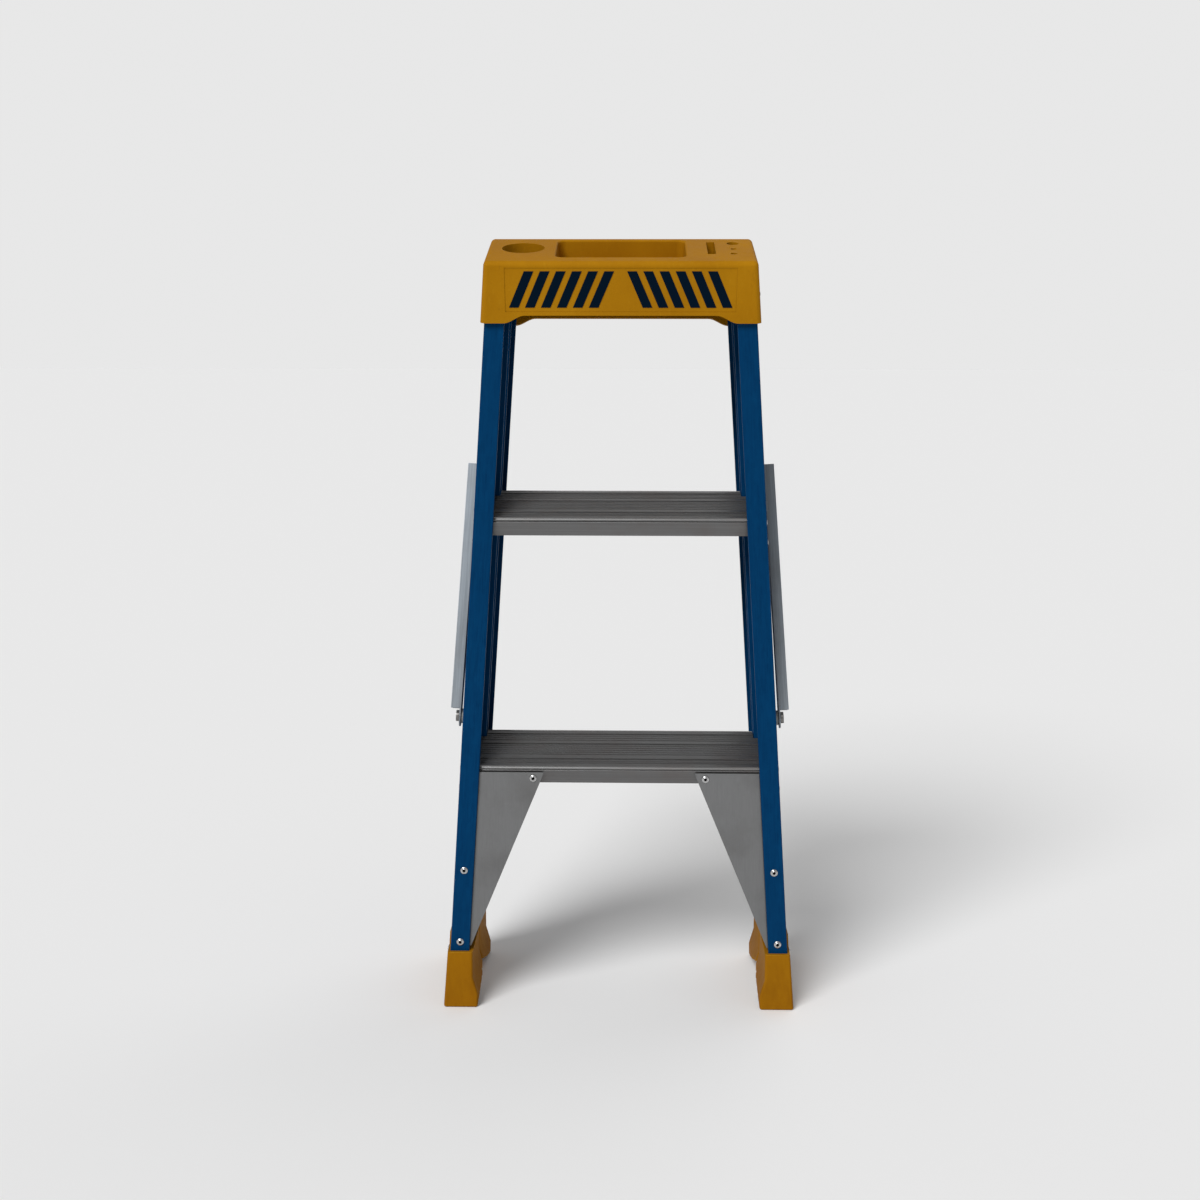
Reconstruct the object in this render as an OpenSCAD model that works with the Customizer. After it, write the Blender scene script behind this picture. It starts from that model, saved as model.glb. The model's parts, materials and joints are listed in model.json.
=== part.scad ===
// Double-sided folding step ladder: two identical splayed frames, hinged under a
// split top cap and braced by folding spreader arms. It is drawn folded flat.
//
// Frames are built in a "level" frame, as they stand when the ladder is open: the
// hinge axis is the X axis, treads are horizontal, -Y is the climbing side. placed_front()
// tilts that frame to the folded position, and placed_rear() turns a second one round.

/* [Ladder] */
// Vertical distance between standing surfaces when open
tread_rise = 293; // [285:1:300]
// Lean of the stiles when open, in degrees
stile_lean = 15.9; // [15:0.1:16.3]
// Tilt of each frame when folded, half the full opening angle, in degrees
fold_tilt = 16.45; // [16.3:0.05:17]
// Height of the cap's top above the hinge axis
cap_top = 35; // [33:1:38]

/* [Stiles] */
// Distance of the stile's front face from the hinge plane, level with the cap's top
stile_front = 90; // [89:0.5:93]
// Half the width over the stiles, level with the cap's top
stile_half = 153.6; // [150:0.2:158]
// Sideways splay of each stile, in degrees
stile_splay = 3.75; // [3:0.05:4.2]
// Depth of the channel section
stile_depth = 81; // [78:0.5:82]
// Width of the channel's flanges
flange_w = 23.5; // [22:0.5:26]
// Thickness of the channel
stile_wall = 4; // [3:0.5:5]

/* [Treads] */
// Depth of a tread from nosing to rear edge
tread_depth = 86; // [80:0.5:86]
// Height of the front skirt
skirt_h = 23; // [18:0.5:26]
// Thickness of the extruded plate
tread_plate = 2.4; // [1.6:0.2:3]
// Height of the grip ribs
rib_h = 1.2; // [0.6:0.2:2]

/* [Top cap] */
// Depth of each half from the hinge plane
cap_depth = 115.4; // [112:0.2:118]
// Half the width at the top
cap_half_top = 157.2; // [157:0.2:160]
// Half the width at the lower edge
cap_half_low = 162.8; // [162:0.2:166]
// Height of the front wall at its ends
cap_h = 71.5; // [66:0.5:76]
// Height of the arch under the front wall
cap_arch = 9.2; // [6:0.2:12]
// Wall thickness of the sides and the front
cap_wall = 3.2; // [2.6:0.2:3.4]
// Thickness of the top
cap_plate = 4; // [3:0.5:5]
// Depth of the tool tray
tray_depth = 30; // [20:1:31]
// Diameter of the large round holder
holder_d = 50; // [40:1:56]

/* [Knee braces] */
// Distance down the slope to the plate's upper edge
brace_top = 615; // [610:1:620]
// Distance down the slope to the plate's lower end
brace_low = 838; // [830:1:840]
// Distance of the plate's inner corner from the middle
brace_reach = 92; // [85:1:100]
// Thickness of the plate
brace_t = 1.6; // [1:0.2:2]

/* [Feet] */
// Height of the boot up the slope
foot_h = 71; // [66:1:74]
// Thickness of the boot in front of and behind the stile
foot_wall = 5; // [4:0.5:6]
// Thickness of the sole below the stile
foot_sole = 10; // [8:1:14]

/* [Spreader arms] */
// Distance down the stile to the arm's pivot
arm_pivot = 555; // [550:1:560]
// Length of the front arm from its pivot to its free end
arm_len = 314; // [300:1:320]
// Width of the front arm
arm_w = 26; // [24:1:28]
// Height of the front arm's flanges
arm_flange = 12.6; // [10:0.2:13]
// Width of the rear arm
rear_arm_w = 20; // [18:1:22]
// How far the middle joint drops past straight when open, in degrees
over_centre = 2; // [1:0.5:3]

/* [Hidden] */
$fn = 48;

LEFT = -1;
RIGHT = 1;
SIDES = [LEFT, RIGHT];
sole_z = cap_top - 3 * tread_rise;
far = 400;

// Colours
blue = [0.02, 0.30, 0.50];
yellow = [0.83, 0.60, 0.13];
navy = [0.03, 0.08, 0.16];
aluminium = [0.62, 0.62, 0.61];
plate_grey = [0.70, 0.71, 0.72];
steel = [0.55, 0.56, 0.58];
nylon = [0.85, 0.85, 0.82];

// Rivets, screws and bolts
rivet_r = 2.4;
rivet_head_r = 4.6;
rivet_head_h = 2;
hole_play = 0.06;
bolt_r = 4;
bolt_head_r = 7;
running_fit = 0.08;
web_rivet_rows = [-11, -35];
web_rivet_cols = [22, 58];
bracket_drop = 44;
brace_rivet_drops = [739, 831.5];
brace_tread_x = 105;
brace_tread_drop = 12.5;
foot_rivet_cols = [28, 53];
foot_rivet_drop = 853;
cap_screw_cols = [26, 57];
cap_screw_drop = 42;

// Hinge
eye_r = 9;
plate_t = 4;
hinge_outer = 129;
hinge_gap = 0.3;
hinge_inner = hinge_outer - plate_t - hinge_gap;
hinge_leg_t = 3.5;
hinge_leg_top = 5;
hinge_leg_low = 58;
hinge_rivet_drops = [16, 46];

// Spreader arms: offsets outward from the web
rear_arm_in = 1.6;
rear_arm_t = 3;
joint_gap = 1;
front_arm_in = rear_arm_in + rear_arm_t + joint_gap;
arm_t = 2;
arm_play = 0.3;

// Level-frame position of a point given in the sloping frame
function slope_y(depth, down) = -stile_front - down * sin(stile_lean) + depth * cos(stile_lean);
function slope_z(depth, down) = cap_top - down * cos(stile_lean) - depth * sin(stile_lean);
// Distance down the slope of a point so far below the cap's top
function slope_down(drop, depth) = (drop - depth * sin(stile_lean)) / cos(stile_lean);
// Half the width over the stiles at a distance down the slope
function half_width(down) = stile_half + tan(stile_splay) * down;

// The arms' pivot, the middle joint and the angles that close the linkage
pivot_down = arm_pivot * cos(stile_splay);
pivot = [-half_width(pivot_down), slope_y(stile_depth / 2, pivot_down),
  slope_z(stile_depth / 2, pivot_down)];
joint_len = -pivot[1] / cos(over_centre);
pivot_folded_y = pivot[1] * cos(fold_tilt) - pivot[2] * sin(fold_tilt);
tilt_run = cos(fold_tilt);
tilt_rise = cos(stile_splay) * sin(fold_tilt);
arm_folded = acos(-pivot_folded_y / joint_len / sqrt(tilt_run * tilt_run + tilt_rise * tilt_rise))
  - atan2(tilt_rise, tilt_run);

// Height of the hinge axis when the folded ladder stands on its toes
toe_y = slope_y(-foot_wall, slope_down(3 * tread_rise, -foot_wall));
hinge_h = -toe_y * sin(fold_tilt) - sole_z * cos(fold_tilt);

// ---- Placing ----

module placed_front() {
  translate([0, 0, hinge_h]) rotate([fold_tilt, 0, 0]) children();
}

module placed_rear() {
  rotate([0, 0, 180]) placed_front() children();
}

// Mirrored rather than turned: used for the arms, which swing on the same side
module mirrored_rear() {
  mirror([0, 1, 0]) placed_front() children();
}

module on_side(side) {
  if (side == LEFT) children();
  else mirror([1, 0, 0]) children();
}

// X across, Y into the frame from the stiles' front faces, Z up the slope
module on_slope() {
  translate([0, -stile_front, cap_top]) rotate([-stile_lean, 0, 0]) children();
}

// X inward from the web's outer face, Y back from the front face, Z up the stile
module on_stile(side) {
  on_slope() on_side(side) translate([-stile_half, 0, 0]) rotate([0, stile_splay, 0]) children();
}

// X along the arm, Y its upper edge when open, Z inward; the origin is on the web
module on_arm(side) {
  on_side(side) translate(pivot) rotate([0, stile_splay, 0]) rotate([90, 0, 90])
    rotate([0, 0, arm_folded]) children();
}

// Everything above or below a level plane
module above(z) {
  translate([-far, -2 * far, z]) cube([2 * far, 3 * far, 3 * far]);
}

module below(z) {
  translate([-far, -2 * far, z - 3 * far]) cube([2 * far, 3 * far, 3 * far]);
}

// A horizontal hole or shank across the web, from one offset to another
module across(from, to, radius) {
  translate([from, 0, 0]) rotate([0, 90, 0]) cylinder(h = to - from, r = radius);
}

// A rivet along +Z with its domed head above the given surface and a flat tail
module rivet(grip, head_r = rivet_head_r, head_h = rivet_head_h) {
  intersection() {
    translate([0, 0, head_h - head_r * 1.6]) sphere(r = head_r * 1.6);
    cylinder(h = head_h, r = head_r);
  }
  translate([0, 0, -grip]) cylinder(h = grip, r = rivet_r);
  translate([0, 0, -grip - 1.5]) cylinder(h = 1.5, r = rivet_r + 1.1);
}

// ---- Stiles ----

module channel_2d(play = 0) {
  difference() {
    translate([-play, -play]) square([flange_w + 2 * play, stile_depth + 2 * play]);
    translate([stile_wall + play, stile_wall + play])
      square([flange_w + 2, stile_depth - 2 * stile_wall - 2 * play]);
  }
}

module stile_bar(play = 0) {
  difference() {
    on_stile(LEFT) translate([0, 0, -960]) linear_extrude(1000) channel_2d(play);
    above(cap_top - cap_plate - 0.3);
    below(sole_z + foot_sole - play);
  }
}

// Positions of the rivets that hold a tread's bracket to the web: [depth, height]
function tread_rivets(n) = [for (c = web_rivet_cols) for (r = web_rivet_rows)
  [c, (r - slope_down(n * tread_rise, c)) / cos(stile_splay)]];

module stile(side) {
  color(blue) on_side(side) difference() {
    stile_bar();
    on_stile(LEFT) {
      for (n = [1, 2])
        for (p = tread_rivets(n))
          translate([0, p[0], p[1]]) across(-1, stile_wall + 1, rivet_r + hole_play);
      for (c = foot_rivet_cols)
        translate([0, c, -foot_rivet_drop]) across(-1, stile_wall + 1, rivet_r + hole_play);
      for (c = cap_screw_cols)
        translate([0, c, -cap_screw_drop]) across(-1, stile_wall + 1, rivet_r + hole_play);
    }
    on_slope() for (d = brace_rivet_drops)
      translate([-half_width(d) + flange_w / 2, -1, -d]) rotate([-90, 0, 0])
        cylinder(h = stile_wall + 2, r = rivet_r + hole_play);
    on_slope() for (d = hinge_rivet_drops)
      translate([-half_width(d) + flange_w / 2, stile_depth - stile_wall - 1, -d])
        rotate([-90, 0, 0]) cylinder(h = stile_wall + 2, r = rivet_r + hole_play);
    on_arm(LEFT) translate([0, 0, -1]) cylinder(h = stile_wall + 2, r = bolt_r + 0.3);
  }
}

// ---- Treads ----

rib_spans = [[1.5, 7], [20, 27], [56, 61], [80, 86]];
grip_lines = [10.5, 14.5, 31, 36, 41, 46, 51, 65, 70, 75];
rear_lip = 9;
skirt_return = 6;

// Section in Y and Z: the origin is on the nosing, level with the standing surface
module tread_2d() {
  plate_z = -rib_h - tread_plate;
  difference() {
    union() {
      translate([3, plate_z]) square([tread_depth - 4.2, tread_plate]);
      translate([3, plate_z - 0.6]) circle(r = 3);
      translate([0, -skirt_h]) square([tread_plate, skirt_h + plate_z + 0.6]);
      translate([0, -skirt_h]) square([skirt_return, tread_plate]);
      translate([tread_depth - 1.2, plate_z + 1.2]) circle(r = 1.2);
      translate([tread_depth - rear_lip - tread_plate, -skirt_h])
        square([tread_plate, skirt_h + plate_z + 1]);
      translate([tread_depth - rear_lip - skirt_return, -skirt_h])
        square([skirt_return, tread_plate]);
      for (s = rib_spans)
        translate([s[0], -rib_h - 0.5]) square([min(s[1], tread_depth - 1.2) - s[0], rib_h + 0.5]);
      for (y = grip_lines)
        translate([y, -rib_h - 0.5]) square([1.4, rib_h]);
    }
    translate([tread_plate + 0.8, plate_z - 3.6]) circle(r = 1);
  }
}

module tread(n) {
  drop = n * tread_rise;
  setback = (stile_wall + brace_t) / cos(stile_lean);
  front_y = -stile_front - drop * tan(stile_lean) + setback;
  end_x = half_width(slope_down(drop, stile_depth)) - stile_wall - 0.9;
  color(aluminium) difference() {
    translate([-end_x, front_y, cap_top - drop]) rotate([90, 0, 90])
      linear_extrude(2 * end_x) tread_2d();
    for (side = SIDES)
      on_stile(side)
        translate([-5, stile_depth - stile_wall - 0.5, -slope_down(drop, stile_depth) - 70])
          cube([flange_w + 6, 60, 110]);
    if (n == 2)
      on_slope() for (side = SIDES)
        translate([side * brace_tread_x, 0, -slope_down(drop + brace_tread_drop, 0)])
          rotate([-90, 0, 0]) cylinder(h = 20, r = rivet_r + hole_play);
  }
}

module tread_bracket(n, side) {
  drop = n * tread_rise;
  under = cap_top - drop - rib_h - tread_plate;
  front_y = -stile_front - drop * tan(stile_lean);
  web_x = half_width(slope_down(drop, stile_depth / 2));
  on_side(side) difference() {
    union() {
      on_stile(LEFT) translate([stile_wall, 13, -slope_down(drop, 13) - bracket_drop])
        cube([3, 55, 70]);
      translate([-web_x + stile_wall + 1.4, front_y + 15, under - 3]) cube([26, 50, 3]);
    }
    above(under);
    on_stile(LEFT) for (p = tread_rivets(n))
      translate([0, p[0], p[1]]) across(stile_wall - 1, stile_wall + 4, rivet_r + hole_play);
  }
}

module tread_brackets() {
  color(steel) for (n = [1, 2])
    for (side = SIDES)
      tread_bracket(n, side);
}

module tread_rivet_set() {
  color(steel) for (side = SIDES)
    on_stile(side) for (n = [1, 2])
      for (p = tread_rivets(n))
        translate([0, p[0], p[1]]) rotate([0, -90, 0]) rivet(stile_wall + 3);
}

// ---- Knee braces ----

module brace(side) {
  outer_top = -half_width(brace_top) + stile_wall + 0.6;
  outer_low = -half_width(brace_low) + stile_wall + 0.6;
  color(plate_grey) on_side(side) on_slope() difference() {
    translate([0, stile_wall + brace_t, 0]) rotate([90, 0, 0]) linear_extrude(brace_t)
      polygon([[outer_top, -brace_top], [-brace_reach, -brace_top],
        [-brace_reach - 1.5, -brace_top - 5], [outer_low + flange_w - 3, -brace_low],
        [outer_low, -brace_low]]);
    for (d = brace_rivet_drops)
      translate([-half_width(d) + flange_w / 2, 0, -d]) rotate([-90, 0, 0])
        cylinder(h = 12, r = rivet_r + hole_play);
    translate([-brace_tread_x, 0, -slope_down(2 * tread_rise + brace_tread_drop, 0)])
      rotate([-90, 0, 0]) cylinder(h = 20, r = rivet_r + hole_play);
  }
}

module brace_rivets() {
  color(steel) for (side = SIDES)
    on_side(side) on_slope() {
      for (d = brace_rivet_drops)
        translate([-half_width(d) + flange_w / 2, 0, -d]) rotate([90, 0, 0])
          rivet(stile_wall + brace_t);
      translate([-brace_tread_x, stile_wall, -slope_down(2 * tread_rise + brace_tread_drop, 0)])
        rotate([90, 0, 0]) rivet(9);
    }
}

// ---- Feet ----

module foot(side) {
  top = 3 * tread_rise / cos(stile_lean) - foot_h;
  low = top + foot_h + 40;
  color(yellow) on_side(side) difference() {
    union() {
      on_slope() translate([0, stile_depth + foot_wall, 0]) rotate([90, 0, 0])
        linear_extrude(stile_depth + 2 * foot_wall)
          polygon([[-half_width(top) - 3, -top], [-half_width(low) - 4.6, -low],
            [-half_width(low) + 40, -low], [-half_width(top) + 34, -top - foot_h + 16],
            [-half_width(top) + 28, -top - foot_h + 37], [-half_width(top) + 28, -top]]);
      on_stile(LEFT) translate([-3, 16, -top - 12]) cube([2.8, 49, 29]);
    }
    below(sole_z);
    intersection() {
      on_stile(LEFT) translate([0, 0, -960]) linear_extrude(1000) channel_2d(0.2);
      above(sole_z + foot_sole - 0.2);
    }
    intersection() {
      on_stile(LEFT) translate([stile_wall + 3.4, stile_wall + 5, -960])
        cube([16, stile_depth - 2 * stile_wall - 10, 200]);
      above(sole_z + foot_sole + 6);
    }
    for (i = [0:4])
      translate([-far, toe_y + 12 + i * 15, sole_z - 2]) cube([far, 5, 4]);
    on_stile(LEFT) for (c = foot_rivet_cols)
      translate([0, c, -foot_rivet_drop]) across(-8, stile_wall + 5, rivet_r + hole_play);
  }
}

module foot_rivets() {
  color(steel) for (side = SIDES)
    on_stile(side) for (c = foot_rivet_cols)
      translate([-3.7, c, -foot_rivet_drop]) rotate([0, -90, 0]) rivet(stile_wall + 7.4);
}

// ---- Top cap ----

arch_half = 110.5;
arch_foot = 136;
arch_steps = 10;
cap_round = 6;
slot_x = 105.5;
slot_w = 9.6;
slot_span = [-77, -17];
holder_at = [-115, -47];
holder_plate = 56;
// Small tool holes: [x, y, diameter]
tool_holes = [[132, -24, 14.5], [131.5, -52, 7], [131, -75, 8]];
tool_plate_x = [97.5, 143.5];
tool_plate_y = [-84, -13];
tray_half = 75.5;
tray_front = -92;
tray_back = -7.6;
tray_wall = 3;
tray_round = 10;
tray_draft = 2;
seam_wall = 4;
seam_y = -0.6;
seam_low_y = -12.6;
front_draft = 1;
boss_wall = 2.6;
boss_h = 14;
panel_half = 133;
panel_top = 7;
panel_low = 58;
panel_cut = 0.6;

// Half the outside width of the cap at a distance below its top
function cap_half(drop) = cap_half_top + (cap_half_low - cap_half_top) * drop / cap_h;

// Outer form: rounded at the front and along the top. The seam side slants away below
// the hinge so that the folded halves clear each other.
module cap_form() {
  low = cap_top - cap_h;
  hull() for (side = SIDES) {
    translate([side * (cap_half_top - cap_round), cap_round - cap_depth, cap_top - cap_round])
      sphere(r = cap_round, $fn = 32);
    translate([side * (cap_half_low - cap_round), cap_round - cap_depth - front_draft, low])
      cylinder(h = 0.1, r = cap_round, $fn = 32);
    translate([side * (cap_half_top - cap_round), seam_y, cap_top - cap_round])
      rotate([90, 0, 0]) cylinder(h = 0.1, r = cap_round, $fn = 32);
    translate([side * (cap_half_top - cap_round) - 1, cap_round - cap_depth, cap_top - 1])
      cube([2, 1, 1]);
    translate([side * cap_half(cap_top) - 1 - side, seam_y - 1, 0]) cube([2, 0.6, 1]);
    translate([side * cap_half_low - 1 - side, seam_low_y - 1, low]) cube([2, 1, 0.1]);
  }
}

// The room below the arch of the front wall, in X and Z
module arch_2d() {
  low = cap_top - cap_h;
  curve = [for (i = [0:arch_steps])
    [arch_foot + (arch_half - arch_foot) * i / arch_steps,
      low + cap_arch * (1 - cos(180 * i / arch_steps)) / 2]];
  polygon(concat([[-arch_foot, low - 1], [arch_foot, low - 1]], curve,
    [for (i = [arch_steps:-1:0]) [-curve[i][0], curve[i][1]]]));
}

module cap_hollow() {
  low = cap_top - cap_h;
  y_front = -cap_depth + cap_wall;
  translate([0, 20, 0]) rotate([90, 0, 0]) linear_extrude(20 - y_front)
    polygon([[-cap_half_top + cap_wall, cap_top - cap_plate],
      [cap_half_top - cap_wall, cap_top - cap_plate],
      [cap_half_low - cap_wall, low - 1], [-cap_half_low + cap_wall, low - 1]]);
}

// The moulding's shell, with windows where the tray, the holder and the tool plate go
module cap() {
  tray_floor = cap_top - tray_depth;
  color(yellow) difference() {
    union() {
      difference() {
        cap_form();
        cap_hollow();
        translate([0, 1, 0]) rotate([90, 0, 0]) linear_extrude(2 * cap_depth) arch_2d();
      }
      // seam wall along the hinge side
      translate([-cap_half_top + 2, seam_y - seam_wall, 12])
        cube([2 * cap_half_top - 4, seam_wall, cap_top - cap_plate - 11]);
    }
    tray_block(cap_top + 1);
    holder_block(cap_top + 1);
    tool_block(cap_top + 1);
    on_cap_front() translate([-panel_half, -1, -panel_low])
      cube([2 * panel_half, panel_cut + 1, panel_low - panel_top]);
    for (side = SIDES)
      on_stile(side) for (c = cap_screw_cols)
        translate([0, c, -cap_screw_drop]) across(-12, 0, rivet_r + hole_play);
  }
}

// The tray's outer form, up to a given height
module tray_block(top) {
  low = cap_top - tray_depth - tray_wall;
  translate([-tray_half - tray_wall, tray_front - tray_wall, low])
    cube([2 * (tray_half + tray_wall), seam_y - seam_wall - tray_front + tray_wall, top - low]);
}

// Its walls slope in a little towards the floor and its corners are round
module tray() {
  color(yellow) difference() {
    tray_block(cap_top);
    hull() for (side = SIDES)
      for (y = [tray_front + tray_round, tray_back - tray_round])
        translate([side * (tray_half - tray_round), y, cap_top - tray_depth])
          cylinder(h = tray_depth + 0.01, r1 = tray_round - tray_draft, r2 = tray_round, $fn = 40);
  }
}

module holder_block(top) {
  translate([holder_at[0] - holder_plate / 2, holder_at[1] - holder_plate / 2,
    cap_top - cap_plate]) cube([holder_plate, holder_plate, top - cap_top + cap_plate]);
}

module holder() {
  color(yellow) difference() {
    union() {
      holder_block(cap_top);
      translate([holder_at[0], holder_at[1], cap_top - boss_h])
        cylinder(h = boss_h - 1, d = holder_d + 2 * boss_wall);
    }
    translate([holder_at[0], holder_at[1], 0]) cylinder(h = cap_top + 1, d = holder_d);
    for (side = SIDES)
      on_side(side) cap_stile_room();
  }
}

module tool_block(top) {
  translate([tool_plate_x[0], tool_plate_y[0], cap_top - cap_plate])
    cube([tool_plate_x[1] - tool_plate_x[0], tool_plate_y[1] - tool_plate_y[0],
      top - cap_top + cap_plate]);
}

module tool_plate() {
  color(yellow) difference() {
    union() {
      tool_block(cap_top);
      translate([slot_x - slot_w / 2 - boss_wall, slot_span[0] - boss_wall, cap_top - boss_h])
        cube([slot_w + 2 * boss_wall, slot_span[1] - slot_span[0] + 2 * boss_wall, boss_h - 1]);
      for (h = tool_holes)
        translate([h[0], h[1], cap_top - boss_h]) cylinder(h = boss_h - 1, d = h[2] + 2 * boss_wall);
    }
    translate([slot_x - slot_w / 2, slot_span[0], 0])
      cube([slot_w, slot_span[1] - slot_span[0], cap_top + 1]);
    for (h = tool_holes)
      translate([h[0], h[1], 0]) cylinder(h = cap_top + 1, d = h[2]);
    for (side = SIDES)
      on_side(side) cap_stile_room();
  }
}

// Room for the stile tops beside the collars
module cap_stile_room() {
  difference() {
    on_stile(LEFT) translate([0, 0, -100]) linear_extrude(130) channel_2d(0.4);
    above(cap_top - cap_plate);
  }
}

// X across, Z up the front wall from its top edge, Y inward
module on_cap_front() {
  translate([0, -cap_depth, cap_top]) rotate([-atan(front_draft / cap_h), 0, 0]) children();
}

label_bars = 6;
label_pitch = 18.4;
label_bar_w = 11;
label_h = 42;
label_slant = 18;
label_start = 7.5;
label_t = 0.5;

// Slanted safety bars that lean towards the middle from both sides
module cap_label() {
  color(navy) on_cap_front() for (side = SIDES)
    on_side(side) translate([0, panel_cut, -panel_low + 5]) rotate([90, 0, 0])
      linear_extrude(label_t) for (i = [0:label_bars - 1])
        translate([-label_start - label_slant - label_bar_w - i * label_pitch, 0])
          polygon([[0, 0], [label_bar_w, 0], [label_bar_w + label_slant, label_h],
            [label_slant, label_h]]);
}

// How far the cap's side stands out from the web where a screw's head sits
function cap_screw_out(c) =
  cap_half(cap_screw_drop * cos(stile_splay) * cos(stile_lean) + c * sin(stile_lean))
  - half_width(cap_screw_drop * cos(stile_splay)) + 0.15;

module cap_screws() {
  color(steel) for (side = SIDES)
    on_stile(side) for (c = cap_screw_cols) {
      out = cap_screw_out(c);
      translate([-out, c, -cap_screw_drop]) rotate([0, -90, 0]) rivet(stile_wall + out);
    }
}

// ---- Hinge ----

module hinge_plate(side, outer) {
  x = outer ? hinge_outer : hinge_inner;
  low_y = slope_y(stile_depth, hinge_leg_low - 6);
  low_z = slope_z(stile_depth, hinge_leg_low - 6);
  top_y = slope_y(stile_depth, hinge_leg_top + 3);
  top_z = slope_z(stile_depth, hinge_leg_top + 3);
  color(steel) on_side(side) difference() {
    union() {
      translate([-x, 0, 0]) rotate([90, 0, 90]) linear_extrude(plate_t) union() {
        circle(r = eye_r);
        polygon([[top_y, top_z], [0, eye_r - 0.2], [6, -6.5], [low_y, low_z]]);
      }
      on_slope() translate([-half_width(hinge_leg_top) + 2, stile_depth, -hinge_leg_low])
        cube([half_width(hinge_leg_top) - 2 - x + plate_t, hinge_leg_t,
          hinge_leg_low - hinge_leg_top]);
    }
    translate([-x - 1, 0, 0]) rotate([0, 90, 0]) cylinder(h = plate_t + 2, r = bolt_r + running_fit);
    on_slope() for (d = hinge_rivet_drops)
      translate([-half_width(d) + flange_w / 2, stile_depth - 1, -d]) rotate([-90, 0, 0])
        cylinder(h = hinge_leg_t + 2, r = rivet_r + hole_play);
  }
}

module hinge_rivets() {
  color(steel) for (side = SIDES)
    on_side(side) on_slope() for (d = hinge_rivet_drops)
      translate([-half_width(d) + flange_w / 2, stile_depth + hinge_leg_t, -d])
        rotate([-90, 0, 0]) rivet(stile_wall + hinge_leg_t);
}

module hinge_bolt(side) {
  color(steel) on_side(side) translate([-hinge_outer, 0, 0]) rotate([0, 90, 0]) {
    translate([0, 0, -4.4]) cylinder(h = 4, r = bolt_head_r - 0.5, $fn = 6);
    translate([0, 0, -0.5]) cylinder(h = 2 * plate_t + hinge_gap + 7.5, r = bolt_r);
  }
}

module hinge_nuts() {
  color(steel) for (side = SIDES)
    on_side(side) translate([-hinge_inner + plate_t + 0.4, 0, 0]) rotate([0, 90, 0])
      difference() {
        cylinder(h = 5, r = bolt_head_r - 0.5, $fn = 6);
        translate([0, 0, -1]) cylinder(h = 7, r = bolt_r + 0.05);
      }
}

// ---- Spreader arms ----

module bar_2d(width, from, to) {
  translate([from, -width / 2]) square([to - from, width]);
}

module front_arm(side) {
  tab_x = joint_len + 52;
  color(plate_grey) on_arm(side) difference() {
    union() {
      translate([0, 0, -front_arm_in - arm_t]) linear_extrude(arm_t) union() {
        circle(d = arm_w);
        bar_2d(arm_w, 0, arm_len);
      }
      for (edge = [-arm_w / 2, arm_w / 2 - arm_t])
        translate([9, edge, -front_arm_in - arm_flange])
          cube([arm_len - 9, arm_t, arm_flange]);
      // stop tab, bent inward over the rear arm
      translate([tab_x, arm_w / 2 - 2.5, -front_arm_in - arm_t]) cube([12, 6, arm_t]);
      translate([tab_x, arm_w / 2 + 1.5, -front_arm_in - arm_t])
        cube([12, 2, arm_t + joint_gap + rear_arm_t]);
    }
    translate([0, 0, -front_arm_in - 20]) cylinder(h = 30, r = bolt_r + running_fit);
    translate([joint_len, 0, -front_arm_in - 20]) cylinder(h = 30, r = 3 + hole_play);
  }
}

module rear_arm(side) {
  color(plate_grey) on_arm(side) difference() {
    translate([0, 0, -rear_arm_in - rear_arm_t]) linear_extrude(rear_arm_t) union() {
      circle(d = rear_arm_w + 3);
      bar_2d(rear_arm_w, 0, joint_len);
      translate([joint_len, 0]) circle(d = rear_arm_w);
    }
    translate([0, 0, -20]) cylinder(h = 30, r = bolt_r + running_fit);
    translate([joint_len, 0, -20]) cylinder(h = 30, r = 3 + hole_play);
  }
}

// The middle joint's rivet, as two halves that end flush in their own arms
module joint_rivet(side) {
  color(steel) on_arm(side) translate([joint_len, 0, -front_arm_in - arm_t]) {
    translate([0, 0, -2.6]) cylinder(h = 2.6, r = 6.5);
    cylinder(h = arm_t, r = 3);
  }
}

module joint_stub(side) {
  color(steel) on_arm(side) translate([joint_len, 0, -rear_arm_in]) {
    cylinder(h = 1.4, r = 6);
    translate([0, 0, -rear_arm_t]) cylinder(h = rear_arm_t, r = 3);
  }
}

// A pivot bolt: its head is outside the arm, its shank ends inside the web
module pivot_bolt(side, outside) {
  color(steel) on_arm(side) {
    translate([0, 0, -outside - arm_play - 4]) cylinder(h = 4, r = bolt_head_r);
    translate([0, 0, -outside - arm_play - 0.5])
      cylinder(h = outside + arm_play + stile_wall + 8, r = bolt_r);
  }
}

module pivot_ring(side, height) {
  color(nylon) on_arm(side) difference() {
    translate([0, 0, -height]) cylinder(h = height - 0.3, r = 9);
    translate([0, 0, -height - 1]) cylinder(h = height + 2, r = bolt_r + 0.1);
  }
}

module pivot_nut(side) {
  color(steel) on_arm(side) difference() {
    translate([0, 0, stile_wall + 0.5]) cylinder(h = 5, r = bolt_head_r, $fn = 6);
    translate([0, 0, stile_wall - 1]) cylinder(h = 10, r = bolt_r + 0.05);
  }
}

module front_arm_bolts() {
  for (side = SIDES)
    pivot_bolt(side, front_arm_in + arm_t);
}

module rear_arm_bolts() {
  for (side = SIDES)
    pivot_bolt(side, rear_arm_in + rear_arm_t);
}

module front_arm_spacers() {
  for (side = SIDES)
    pivot_ring(side, front_arm_in - arm_play);
}

module rear_arm_washers() {
  for (side = SIDES)
    pivot_ring(side, rear_arm_in - arm_play);
}

module arm_nuts() {
  for (side = SIDES)
    pivot_nut(side);
}

// ---- The model: the front frame, then the rear one, then what joins them ----

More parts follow.
